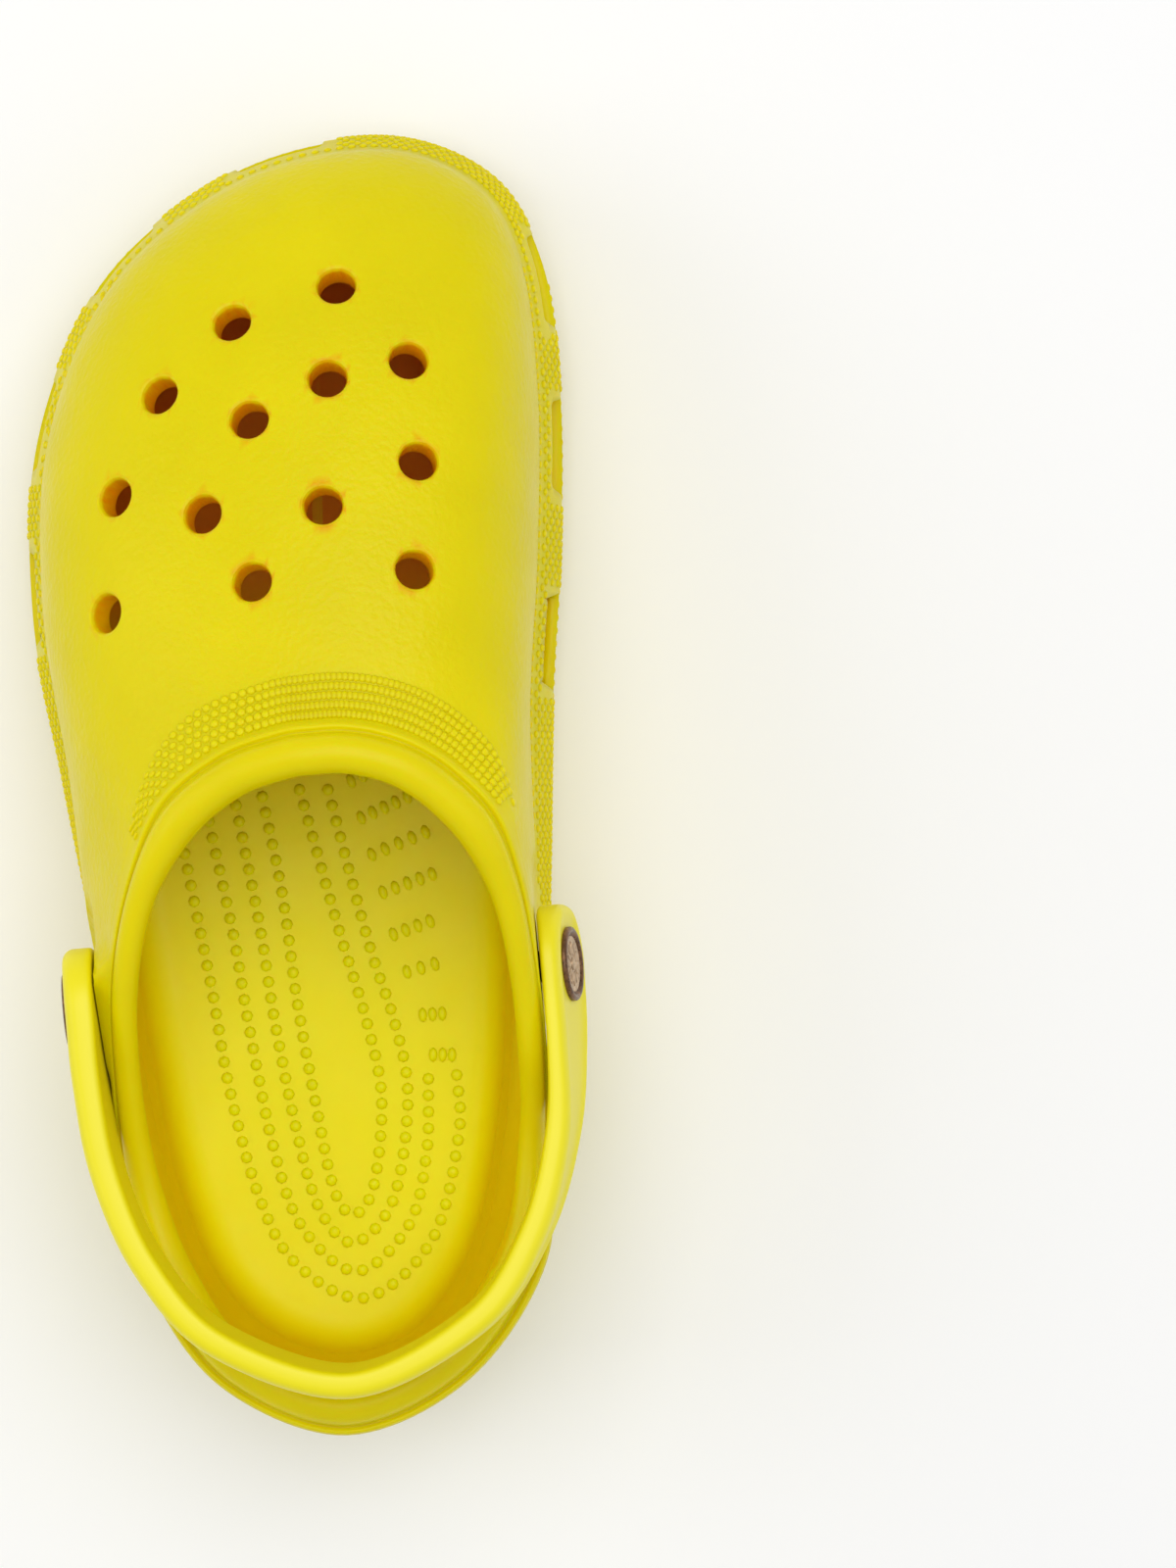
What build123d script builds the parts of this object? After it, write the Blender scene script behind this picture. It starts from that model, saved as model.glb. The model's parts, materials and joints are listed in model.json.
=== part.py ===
"""Rubber garden clog, left foot: one foam moulding, a heel strap and the two rivets it swings on.

Frame: origin under the middle of the clog on the ground, +Y to the toe, +X to the big-toe side, +Z up.
All sizes are in millimetres.
"""
import os
from math import cos, radians, sin

from build123d import *

# ---- driving dimensions -------------------------------------------------------------------------
WALL = 5.5                # thickness of the foam shell
SOLE_BULGE = 16.0         # height of the widest line of the sole side band
BAND_TOP = 35.0           # height of the line where the side band meets the upper
TOE_SPRING = 5.0          # how far the sole lifts off the ground at the toe
RIM_RADIUS = 4.4          # rolled rim of the foot opening, front and heel
RIM_THINNING = 1.6        # how much thinner the rim is beside the strap pivots
FOOTBED_HEIGHT = 24.0     # top of the footbed above the ground
VENT_DIAMETER = 8.2
PORT_LENGTH = 23.0        # side ports in the sole band
PORT_HEIGHT = 10.5
PORT_DEPTH = 2.0

HINGE_CENTRE = (5.7, -47.7, 67.0)   # middle of the line through both strap pivots
HINGE_SKEW = 5.3                    # degrees in plan: the lateral pivot sits further back
EAR_RADIUS = 13.4                   # rounded strap end
EAR_INNER = 48.7                    # hinge centre to the face of an ear that lies on the shell
EAR_OUTER = 55.7                    # hinge centre to the middle of the outer face of an ear
EAR_CLEARANCE = 20.0                # radius round the hinge where the shell is cut back behind the ears
SEAT_RISE = 1.7                     # how far an ear's seat stands out of the cut-back shell
STUD_SEAT = 44.3                    # hinge centre to the recess for the inner button
EAR_TILT = {1: 13.0, -1: 3.0}       # degrees that the outer face of the medial and lateral ear looks upward
FACE_GAP = 0.3                      # ear to shell, and stud to shell
BORE_RADIUS = 3.5
POST_RADIUS = 3.45
CAP_RADIUS = 8.2
CAP_THICKNESS = 2.2
CAP_RECESS = 1.6
BADGE_RADIUS = 6.2
BADGE_THICKNESS = 0.8
STUD_RADIUS = 6.4
STUD_THICKNESS = 2.2
STUD_SOCKET = 1.0

# Half outline of the strap seen from above, in the frame of the hinge: outer face, then inner face.
STRAP_OUTSIDE = [(59.2, 16), (58.8, -4), (56.6, -20), (53.2, -36), (45.3, -58), (30, -77), (0, -88.8)]
STRAP_INSIDE = [(0, -82.2), (26, -71), (39, -54.5), (46.4, -35)]
# Side outline of the strap band behind the ears: lower edge, then upper edge.
STRAP_LOWER = [(0, -13.4), (-18, -11), (-40, -4), (-65, 0.5), (-95, 3)]
STRAP_UPPER = [(-95, 24), (-65, 20.5), (-35, 15.5), (0, 13.4)]

# Outline of the sole at its widest line, clockwise from the back of the heel.
SOLE_OUTLINE = [
    (11, -141), (-10.5, -135.5), (-27, -119.5), (-37, -95), (-43.5, -65), (-49.5, -35), (-56.5, -1), (-63.4, 36),
    (-62.2, 76), (-47, 112.5), (-17.5, 137), (16, 145.3), (41.5, 137), (54, 117), (58.2, 86), (58.2, 50),
    (56.4, 15), (55.8, -20), (55, -52), (52.5, -84), (46, -112), (31.5, -133)]
# Inner edge of the foot opening, one point for each point of the sole outline.
COLLAR_LINE = [
    (11, -136, 61), (-9, -128.5, 60), (-22, -112, 57), (-30.5, -91, 56), (-33.6, -69, 66), (-33.2, -48, 79),
    (-29, -29, 87), (-20, -14.5, 93), (-9.5, -5.8, 96.5), (1, -2, 99), (6.5, -1.2, 99.8), (12, -0.9, 100),
    (18, -1.8, 99.8), (24, -4, 99), (30.5, -8.5, 97), (37.5, -16, 94), (43.5, -27, 89.5), (47, -41, 84),
    (49, -59, 74), (49.3, -80, 58), (45, -105, 56), (31, -126.5, 59.5)]
# Centres of the vents in the upper.
VENTS = [
    (9, 107), (-14, 97), (26, 90), (8, 85), (-29, 82), (-9, 76), (28, 67), (-39, 59), (-20, 56), (7, 58),
    (27, 42), (-8, 40), (-40, 34)]
# Side ports: the point of the sole outline each one lies beside.
PORTS = [(56, 112), (58.5, 73), (57.8, 30), (-6, 140), (-41, 117), (-61.5, 80), (-63.5, 38)]

HINGE = Plane(
    origin=HINGE_CENTRE,
    x_dir=(cos(radians(HINGE_SKEW)), sin(radians(HINGE_SKEW)), 0),
    z_dir=(0, 0, 1))


def ease(start, end, value):
    """Smooth step from 0 at start to 1 at end."""
    t = min(max((value - start) / (end - start), 0), 1)
    return t * t * (3 - 2 * t)


def loop_tangents(points):
    return [(points[(i + 1) % len(points)] - points[i - 1]).normalized() for i in range(len(points))]


def outward(points):
    """Horizontal outward directions of a clockwise loop."""
    return [Vector(-t.Y, t.X, 0).normalized() for t in loop_tangents(points)]


def cubic(a, b, c, d, t):
    return a * (1 - t) ** 3 + b * (3 * (1 - t) ** 2 * t) + c * (3 * (1 - t) * t * t) + d * t ** 3


def outer_rows():
    """Loops of points from the sole's rim on the ground up the outside to the rim of the opening."""
    sole = [Vector(x, y, 0) for x, y in SOLE_OUTLINE]
    collar = [Vector(*p) for p in COLLAR_LINE]
    out_sole, out_collar = outward(sole), outward(collar)
    along = loop_tangents(collar)
    rows = {name: [] for name in ("ground", "low", "bulge", "band", "rim_centre", "rim_foot")}
    upper, roll = [[] for _ in range(5)], [[] for _ in range(5)]
    for s, c, ns, nc, tc in zip(sole, collar, out_sole, out_collar, along):
        toe, front = ease(60, 146, s.Y), ease(-60, 20, s.Y)
        rows["ground"].append(s - ns * (7 + 16 * toe))
        rows["low"].append(s - ns * 2.2 + Vector(0, 0, 5 + 5 * toe))
        rows["bulge"].append(s + Vector(0, 0, SOLE_BULGE + TOE_SPRING * toe))
        band = s - ns * (2 + 3 * front) + Vector(0, 0, BAND_TOP + 1.5 * toe)
        rows["band"].append(band)
        radius = RIM_RADIUS - RIM_THINNING * ease(-105, -80, c.Y) * (1 - ease(-35, -12, c.Y))
        lift = nc.cross(tc)
        lift = lift if lift.Z > 0 else lift * -1
        centre = c + nc * radius
        foot = centre + nc * (radius + 0.5) - lift * 1.5
        rows["rim_centre"].append(centre)
        rows["rim_foot"].append(foot)
        rise = foot.Z - band.Z
        run = Vector(band.X - foot.X, band.Y - foot.Y, 0)
        far = min(run.length / 130, 1)
        low_pull = band + Vector(0, 0, rise * (0.62 - 0.24 * far)) + ns * (1.5 * (1 - ease(0, 60, run.length)))
        high_pull = foot + run * (0.35 + 0.22 * far) - Vector(0, 0, rise * (0.30 - 0.05 * far))
        for k, row in enumerate(upper):
            row.append(cubic(band, low_pull, high_pull, foot, (k + 1) / 6))
        for row, angle in zip(roll, (20, 70, 120, 170, 215)):
            a = radians(angle)
            row.append(centre + nc * (radius * cos(a)) + lift * (radius * sin(a)))
    return rows, upper, roll


def inner_rows(rows, upper):
    """The same wall one thickness further in, from the opening down to the footbed."""
    stack = [rows["band"]] + upper + [rows["rim_foot"]]
    inner = []
    for k in (5, 3, 1):
        tangents = loop_tangents(stack[k])
        row = []
        for i, point in enumerate(stack[k]):
            climb = stack[k + 1][i] - stack[k - 1][i]
            normal = tangents[i].cross(climb).normalized()
            normal = normal if normal.dot(Vector(point.X - 5, point.Y, 40)) > 0 else normal * -1
            row.append(point - normal * WALL)
        inner.append(row)
    return inner


def closed_wire(points):
    return Wire([Edge.make_spline(points, periodic=True)])


def clog_shell():
    rows, upper, roll = outer_rows()
    inner = inner_rows(rows, upper)
    band_in = outward(rows["band"])
    sill = [p - n * WALL for p, n in zip(rows["band"], band_in)]
    heel_in = [Vector(p.X, p.Y, 0) - n * 10 + Vector(0, 0, FOOTBED_HEIGHT) for p, n in zip(rows["bulge"], band_in)]
    loops = [rows["ground"], rows["low"], rows["bulge"], rows["band"]] + upper + [rows["rim_foot"]] + roll
    loops += inner + [sill, heel_in]
    return Solid.make_loft([closed_wire(loop) for loop in loops], ruled=True)


def axle(radius, start, end, side):
    """Cylinder on the hinge line between two distances from the hinge centre."""
    plane = Plane(origin=(side * start, 0, 0), x_dir=(0, 1, 0), z_dir=(side, 0, 0))
    return (HINGE * extrude(plane * Circle(radius), end - start)).solid()


def ear_plane(side):
    """Outer face of an ear: turned up a little, with its middle on the hinge line."""
    tilt = radians(EAR_TILT[side])
    local = Plane(origin=(side * EAR_OUTER, 0, 0), x_dir=(0, 1, 0), z_dir=(side * cos(tilt), 0, sin(tilt)))
    return Plane(HINGE.location * local.location)


def vent_cutters(shell):
    cutters = []
    for x, y in VENTS:
        hits = shell.find_intersection_points(Axis((x, y, 200), (0, 0, -1)))
        point, normal = max(hits, key=lambda hit: hit[0].Z)
        normal = normal if normal.Z > 0 else normal * -1
        plane = Plane(origin=point - normal * 2 * WALL, z_dir=normal)
        cutters.append(extrude(plane * Circle(VENT_DIAMETER / 2), 4 * WALL))
    return cutters


def port_cutters():
    """Shallow trapezoid pockets in the side band, each facing straight out of the sole outline."""
    sole = Edge.make_spline([Vector(x, y, 0) for x, y in SOLE_OUTLINE], periodic=True)
    cutters = []
    for x, y in PORTS:
        at = min([k / 500 for k in range(500)], key=lambda u: (sole.position_at(u) - Vector(x, y, 0)).length)
        foot, along = sole.position_at(at), sole.tangent_at(at)
        out = Vector(-along.Y, along.X, 0)
        rise = SOLE_BULGE + 6 + 0.5 * TOE_SPRING * ease(60, 146, y)
        plane = Plane(origin=foot + Vector(0, 0, rise) - out * (PORT_DEPTH + 1.2), x_dir=along, z_dir=out)
        cutters.append(extrude(plane * Trapezoid(PORT_LENGTH, PORT_HEIGHT, 70), 20))
    return cutters


def clog_body():
    """The shell with its vents and side ports, and a flat raised seat for each strap ear."""
    shell = clog_shell()
    body = shell
    for cutter in vent_cutters(shell) + port_cutters():
        body = body.cut(cutter.solid())
    seat = EAR_INNER - FACE_GAP
    for side in (1, -1):
        body = body.cut(axle(EAR_CLEARANCE, seat - SEAT_RISE, seat + 16, side))
        body = body.cut(axle(STUD_RADIUS + 1, STUD_SEAT - 12, STUD_SEAT, side))
        body = body.fuse(axle(EAR_RADIUS - 0.8, seat - SEAT_RISE - 1.3, seat, side))
        body = body.cut(axle(BORE_RADIUS, STUD_SEAT - 4, seat + 2, side))
    return body


def heel_strap():
    outside = STRAP_OUTSIDE + [(-x, y) for x, y in reversed(STRAP_OUTSIDE[:-1])]
    inside = [(-x, y) for x, y in reversed(STRAP_INSIDE[1:])] + STRAP_INSIDE
    straight = [(EAR_INNER, -16), (EAR_INNER, 16)]
    plan = make_face([
        Spline(*outside),
        Line((-EAR_INNER, -16), (-EAR_INNER, 16)),
        Line((-EAR_INNER, 16), outside[-1]),
        Spline((-EAR_INNER, -16), *inside, (EAR_INNER, -16), tangents=[(0, -1), (0, 1)]),
        Line(*straight),
        Line(straight[1], outside[0])])
    side = make_face([
        Spline(*STRAP_LOWER),
        Line(STRAP_LOWER[-1], STRAP_UPPER[0]),
        Spline(*STRAP_UPPER),
        Line(STRAP_UPPER[-1], STRAP_LOWER[0])])
    band = extrude(Plane.YZ * (side + Circle(EAR_RADIUS)), 80, both=True)
    strap = HINGE * (extrude(plan, 60, both=True) & band)
    for side in (1, -1):
        face = ear_plane(side)
        strap -= extrude(face * Rectangle(300, 300), 30)
        strap -= extrude(face * Circle(CAP_RADIUS + 0.1), -CAP_RECESS - 0.02)
        strap -= axle(POST_RADIUS + 0.02, EAR_INNER - 1, EAR_OUTER, side)
    return strap


def rivet_cap(side):
    """Round head in the ear's pocket, with the post that runs through the ear and the shell."""
    face = ear_plane(side)
    seat = face.offset(-CAP_RECESS)
    head = extrude(seat * Circle(CAP_RADIUS), CAP_THICKNESS)
    pocket = extrude(seat.offset(CAP_THICKNESS - BADGE_THICKNESS) * Circle(BADGE_RADIUS), BADGE_THICKNESS)
    tip = STUD_SEAT - FACE_GAP - STUD_SOCKET
    return head + axle(POST_RADIUS, tip, EAR_OUTER - CAP_RECESS + 0.4, side) - pocket


def rivet_badge(side):
    seat = ear_plane(side).offset(CAP_THICKNESS - CAP_RECESS - BADGE_THICKNESS)
    return extrude(seat * Circle(BADGE_RADIUS), BADGE_THICKNESS)


def rivet_stud(side):
    """Round button on the inside of the shell, pressed onto the end of the post."""
    face = STUD_SEAT - FACE_GAP
    button = axle(STUD_RADIUS, face - STUD_THICKNESS, face, side)
    return button - axle(POST_RADIUS, face - STUD_SOCKET, face + 1, side)


def build():
    parts = {"clog_body": clog_body(), "heel_strap": heel_strap()}
    for name, side in (("medial", 1), ("lateral", -1)):
        parts["rivet_cap_" + name] = rivet_cap(side)
        parts["rivet_badge_" + name] = rivet_badge(side)
        parts["rivet_stud_" + name] = rivet_stud(side)
    return parts


PARTS = build()
os.makedirs("parts", exist_ok=True)
for node, shape in PARTS.items():
    export_step(shape, "parts/" + node + ".step")
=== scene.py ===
"""Visual model of a foam garden clog with a swinging heel strap, laid out as an add-on."""
import json
from math import cos, pi, radians, sin, sqrt, tan

import bmesh
import bpy
import numpy as np
from bpy.props import FloatProperty, FloatVectorProperty, IntProperty, PointerProperty
from bpy.types import Operator, Panel, PropertyGroup
from mathutils import Matrix, Vector
from mathutils.bvhtree import BVHTree
from mathutils.kdtree import KDTree


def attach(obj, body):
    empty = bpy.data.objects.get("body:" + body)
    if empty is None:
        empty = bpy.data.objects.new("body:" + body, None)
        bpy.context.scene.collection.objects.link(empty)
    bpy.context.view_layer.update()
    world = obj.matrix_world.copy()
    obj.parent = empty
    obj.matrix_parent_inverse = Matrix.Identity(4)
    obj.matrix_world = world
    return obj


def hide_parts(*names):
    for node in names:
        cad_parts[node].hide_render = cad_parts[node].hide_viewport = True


bl_info = {
    "name": "Garden clog",
    "version": (1, 0, 0),
    "blender": (4, 5, 0),
    "location": "View3D > Sidebar > Garden clog",
    "description": "Models a moulded foam clog, its heel strap and rivets on the packed frame",
    "category": "Object",
}

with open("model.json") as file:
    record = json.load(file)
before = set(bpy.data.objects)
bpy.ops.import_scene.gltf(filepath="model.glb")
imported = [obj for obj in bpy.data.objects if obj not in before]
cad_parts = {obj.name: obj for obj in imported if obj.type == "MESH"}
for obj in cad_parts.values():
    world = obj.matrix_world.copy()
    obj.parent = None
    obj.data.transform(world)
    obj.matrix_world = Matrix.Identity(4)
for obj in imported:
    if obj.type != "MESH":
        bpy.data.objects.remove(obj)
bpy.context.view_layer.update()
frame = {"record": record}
SWING = frame["record"]["behaviour"]["joints"][0]

# ---- shape of the moulding, in millimetres ------------------------------------------------------
MM = 0.001
WALL = 5.5                                          # thickness of the upper
BED = 24.0                                          # height of the footbed
AROUND = 264                                        # points in one row round the moulding
# Sole outline at its widest line, clockwise from the back of the heel.
SOLE_OUTLINE = np.array([
    (11, -141), (-10.5, -135.5), (-27, -119.5), (-37, -95), (-43.5, -65), (-49.5, -35), (-56.5, -1),
    (-63.4, 36), (-62.2, 76), (-47, 112.5), (-17.5, 137), (16, 145.3), (41.5, 137), (54, 117), (58.2, 86),
    (58.2, 50), (56.4, 15), (55.8, -20), (55, -52), (52.5, -84), (46, -112), (31.5, -133)], float)
# Inner edge of the foot opening, point for point with the sole outline.
COLLAR_LINE = np.array([
    (11, -136, 61), (-9, -128.5, 60), (-22, -112, 57), (-30.5, -91, 56), (-33.6, -69, 66), (-33.2, -48, 79),
    (-29, -29, 87), (-20, -14.5, 93), (-9.5, -5.8, 96.5), (1, -2, 99), (6.5, -1.2, 99.8), (12, -0.9, 100),
    (18, -1.8, 99.8), (24, -4, 99), (30.5, -8.5, 97), (37.5, -16, 94), (43.5, -27, 89.5), (47, -41, 84),
    (49, -59, 74), (49.3, -80, 58), (45, -105, 56), (31, -126.5, 59.5)], float)
VENTS = [
    (9, 107), (-14, 97), (26, 90), (8, 85), (-29, 82), (-9, 76), (28, 67), (-39, 59), (-20, 56), (7, 58),
    (27, 42), (-8, 40), (-40, 34)]
PORTS = [(56, 112), (58.5, 73), (57.8, 30), (-6, 140), (-41, 117), (-61.5, 80), (-63.5, 38)]
# Footbed nub rows round the heel seat, inner row first: left arm, bottom of the U, right arm.
NUB_ROWS = [
    [(-10, -6), (-5.3, -29), (-2, -53), (2.3, -76.5), (6.5, -96), (11, -101.5), (15.5, -95), (17.3, -75),
     (13.9, -57.5), (7.4, -36), (-1.5, -4.4)],
    [(-16, -8), (-10.5, -36), (-7.1, -57.5), (-2, -83), (3.2, -100.5), (11, -108), (20, -98), (23.3, -75),
     (20.4, -58), (14.4, -39.6), (5, -4.4)],
    [(-23, -8), (-16.5, -38), (-13.2, -57.5), (-7.1, -87.5), (-0.5, -105), (11.7, -114.5), (23.5, -104),
     (27.6, -87.5), (28, -70.5)],
    [(-30, -8), (-21.7, -49), (-17.4, -73), (-10.5, -98), (-2, -113), (13.7, -120.5), (29, -107), (35, -83),
     (34.5, -69.6)]]
# Short bars of nubs beside the arch: left end, right end, nubs in the bar.
NUB_BARS = [
    ((28, -65), (34.5, -65), 3), ((25.6, -56), (32.3, -55.5), 3), ((21.5, -46.5), (31.1, -43.8), 3),
    ((18.6, -38), (29.8, -34), 4), ((16.2, -28.4), (30.3, -23.2), 5), ((13.5, -19.9), (28.9, -13.4), 5),
    ((11.3, -11.4), (24.5, -5.5), 5), ((9, -3), (22, 3), 5)]
EAR = 13.4                                          # radius of the strap's ears
EAR_OUTER = 55.7                                    # outer face of an ear, from the middle of the hinge
EAR_TILT = {1: radians(13), -1: radians(3)}         # lean of the outer faces, medial and lateral
EAR_SEAT = 48.35                                    # flat pads on the shell, from the middle of the hinge
STUD_SEAT = 44.3                                    # inner wall under the buttons, from the same middle
# Strap in the frame of the hinge: half outline from above, then its lower and upper edge from the side.
STRAP_OUTSIDE = [(55.7, 0), (55.5, -16), (53.2, -36), (45.3, -58), (30, -77), (0, -88.8)]
STRAP_LOWER = [(0, -13.4), (-18, -11), (-40, -4), (-65, 0.5), (-88.8, 2.6)]
STRAP_UPPER = [(0, 13.4), (-35, 15.5), (-65, 20.5), (-88.8, 23.4)]
STRAP_THICK = 7.0
EDGE_ROUND = 2.6                                    # rounding of the strap's outer edges
SOLE_RUN = 700.0                                    # length round the sole, for spacing its dots
BEAD_SPAN = (5.6 / 22, 16.9 / 22)                   # part of the way round that the collar beads cover
BEAD_COUNT = 84                                     # beads in one row
BEAD_BAND = 10.2                                    # width of the bead band at its widest
PORT_SIZE = (23, 14, 10.5)                          # port along the band, into it and up it


def ease(start, end, value):
    t = np.clip((np.asarray(value, float) - start) / (end - start), 0, 1)
    return t * t * (3 - 2 * t)


def unit(v):
    return v / np.linalg.norm(v, axis=-1, keepdims=True)


def spline(points, at, closed=False):
    """Catmull-Rom curve through rows of points, at places counted in points."""
    p = np.asarray(points, float)
    n = len(p)
    at = np.asarray(at, float)
    i = np.floor(at).astype(int)
    if not closed:
        i = np.clip(i, 0, n - 2)
    t = (at - i).reshape((-1,) + (1,) * (p.ndim - 1))
    if closed:
        a, b, c, d = (p[(i + k) % n] for k in (-1, 0, 1, 2))
    else:
        first, last = 2 * p[0] - p[1], 2 * p[-1] - p[-2]
        q = np.concatenate([[first], p, [last]])
        a, b, c, d = (q[i + k] for k in (0, 1, 2, 3))
    square, cube = 2 * a - 5 * b + 4 * c - d, 3 * b - a - 3 * c + d
    return 0.5 * (2 * b + (c - a) * t + square * t ** 2 + cube * t ** 3)


def even_points(points, pitch):
    """Places spaced evenly along a curve through the points."""
    dense = spline(points, np.linspace(0, len(points) - 1, 1200))
    run = np.concatenate([[0], np.cumsum(np.linalg.norm(np.diff(dense, axis=0), axis=1))])
    count = max(int(round(run[-1] / pitch)), 1)
    where = np.linspace(0, run[-1], count + 1)
    return np.stack([np.interp(where, run, dense[:, k]) for k in range(dense.shape[1])], 1)


def outward(loop):
    """Level direction out of a closed row, at each of its points."""
    t = np.roll(loop, -1, 0) - np.roll(loop, 1, 0)
    return unit(np.stack([-t[:, 1], t[:, 0], 0 * t[:, 0]], 1))


class Surface:
    """Rows of points up the outside of the moulding, over the rim and down to the footbed."""

    def __init__(self, ridge):
        sole = np.c_[SOLE_OUTLINE, 0 * SOLE_OUTLINE[:, 0]]
        collar = COLLAR_LINE
        ns, nc = outward(sole), outward(collar)
        toe = ease(60, 146, sole[:, 1])[:, None]
        front = ease(-60, 20, sole[:, 1])[:, None]
        up = np.array([0, 0, 1.0])
        # Ground edge, under edge, side band and the groove above it.
        keys = [
            sole - ns * (9 + 15 * toe) + up * 2.5,
            sole - ns * (5.5 + 12 * toe) + up * (0.9 + toe),
            sole - ns * (2.4 + 1 * toe) + up * (4.5 + 5 * toe),
            sole + up * (16 + 5 * toe),
            sole - ns * (0.7 + 1.3 * front) + up * (26 + 3 * toe),
            sole - ns * (2 + 3 * front) + up * (35 + 1.5 * toe)]
        side = list(spline(keys, np.linspace(0, 5, 24)))
        band = keys[-1]
        # Rolled rim: a round bead outside the collar line, slimmer at the ears, on a fine ridge.
        tc = unit(np.roll(collar, -1, 0) - np.roll(collar, 1, 0))
        lift = np.cross(nc, tc)
        lift *= np.sign(lift[:, 2:3])
        pivots = ease(-105, -80, collar[:, 1]) * (1 - ease(-35, -12, collar[:, 1]))
        radius = (4.4 - 1.6 * pivots)[:, None]
        fine = ridge * (1 - 0.6 * pivots)[:, None]
        centre = collar + nc * radius
        foot = centre + nc * (radius + 0.5 + 1.9 * fine) - lift * 1.5
        # Upper: one cubic curve per column, from the band to the foot of the rim.
        rise = (foot[:, 2] - band[:, 2])[:, None]
        run = band - foot
        run[:, 2] = 0
        length = np.linalg.norm(run, axis=1)
        far = np.clip(length / 130, 0, 1)[:, None]
        heel = (3.0 * (1 - ease(-135, -95, sole[:, 1])))[:, None]
        steep = (1.5 * (1 - ease(0, 60, length)))[:, None]
        low_pull = band + up * rise * (0.62 - 0.24 * far) + ns * steep + ns * heel
        high_pull = foot + run * (0.35 + 0.22 * far) - up * rise * (0.30 - 0.05 * far)
        upper = []
        for t in np.linspace(0, 1, 58)[1:]:
            upper.append((1 - t) ** 3 * band + 3 * (1 - t) ** 2 * t * low_pull
                         + 3 * (1 - t) * t * t * high_pull + t ** 3 * foot)
        roll = [centre + nc * (radius + out * fine) + lift * (w * fine - (1 - fine) * 1.2)
                for out, w in ((2.0, -0.5), (1.5, 0.15), (0.9, -0.2), (0.45, -1.1))]
        for angle in np.radians(np.linspace(4, 225, 17)):
            roll.append(centre + nc * (radius * cos(angle)) + lift * (radius * sin(angle)))
        at = np.arange(AROUND) * len(collar) / AROUND
        rows = [spline(r, at, closed=True) for r in side + upper]
        self.side_count, self.outer_count = len(side), len(side) + len(upper)
        outer = np.array(rows)
        climb = np.gradient(outer, axis=0)
        along = np.roll(outer, -1, 1) - np.roll(outer, 1, 1)
        self.normal = unit(np.cross(along, climb))
        self.normal *= np.sign(-self.normal[12, 0, 1])
        outer = self.outer = self.seat_ears(outer)
        rim = [spline(r, at, closed=True) for r in roll]
        inner = [outer[k] - self.normal[k] * WALL for k in range(self.outer_count - 8, self.side_count, -2)]
        sill = outer[self.side_count - 1] - outward(outer[self.side_count - 1]) * (WALL + 1)
        bed = self.bed_rows(sill)
        self.rows = list(outer) + rim + inner + [sill] + bed

    @staticmethod
    def seat_ears(outer):
        """Flat round seats for the strap ears, square to the hinge line."""
        at = np.array(SWING["pos_m"]) / MM
        x = -np.array(SWING["axis"])
        y = np.array([-x[1], x[0], 0])
        local = outer - at
        lx, ly, lz = local @ x, local @ y, local[..., 2]
        away = np.hypot(ly, lz)
        pad = (1 - ease(12.6, 17, away)) * (np.abs(lx) > 40)
        want = np.where(away < 24, np.minimum(np.abs(lx), EAR_SEAT), np.abs(lx))
        want = want * (1 - ease(20, 26, away)) + np.abs(lx) * ease(20, 26, away)
        want = want * (1 - pad) + EAR_SEAT * pad
        shift = np.sign(lx) * want - lx
        return outer + shift[..., None] * x

    @staticmethod
    def bed_rows(sill):
        """Rounds the foot of the inner wall into the footbed and closes that towards a spine."""
        rows = []
        for s in np.linspace(0.15, 1, 9):
            a = s * pi / 2
            row = sill - outward(sill) * (9 * (1 - cos(a)))
            row[:, 2] = sill[:, 2] + (BED + 1 - sill[:, 2]) * sin(a)
            rows.append(row)
        edge = rows[-1]
        spine = edge.copy()
        spine[:, 1] = np.clip(edge[:, 1], -98, 95)
        spine[:, 0] = np.interp(spine[:, 1], [-98, 0, 95], [11, 4, 2])
        for t in np.linspace(0, 0.97, 16)[1:]:
            row = edge * (1 - t) + spine * t
            row[:, 2] = BED + (1 - t) ** 2.5
            rows.append(row)
        return rows

    def place(self, turn, first, last, distance):
        """Point and outward normal on the outside, a distance along a column from one row to another."""
        step = 1 if last > first else -1
        picks = np.arange(first, last, step)
        column = turn * AROUND
        a, b, t = int(column) % AROUND, (int(column) + 1) % AROUND, column - int(column)
        points = self.outer[picks, a] * (1 - t) + self.outer[picks, b] * t
        normals = self.normal[picks, a] * (1 - t) + self.normal[picks, b] * t
        run = np.concatenate([[0], np.cumsum(np.linalg.norm(np.diff(points, axis=0), axis=1))])
        at = [np.interp(distance, run, points[:, k]) for k in range(3)]
        normal = [np.interp(distance, run, normals[:, k]) for k in range(3)]
        return Vector(at), Vector(normal).normalized()


def make_object(name, bm, material, body, smooth=True):
    """Turns a bmesh in millimetres into a finished piece that rides on a CAD body."""
    bmesh.ops.scale(bm, vec=(MM, MM, MM), verts=bm.verts)
    mesh = bpy.data.meshes.new(name)
    bm.to_mesh(mesh)
    bm.free()
    for face in mesh.polygons:
        face.use_smooth = smooth
    obj = bpy.data.objects.new(name, mesh)
    bpy.context.scene.collection.objects.link(obj)
    obj.data.materials.append(material)
    if body:
        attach(obj, body)
    return obj


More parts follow.
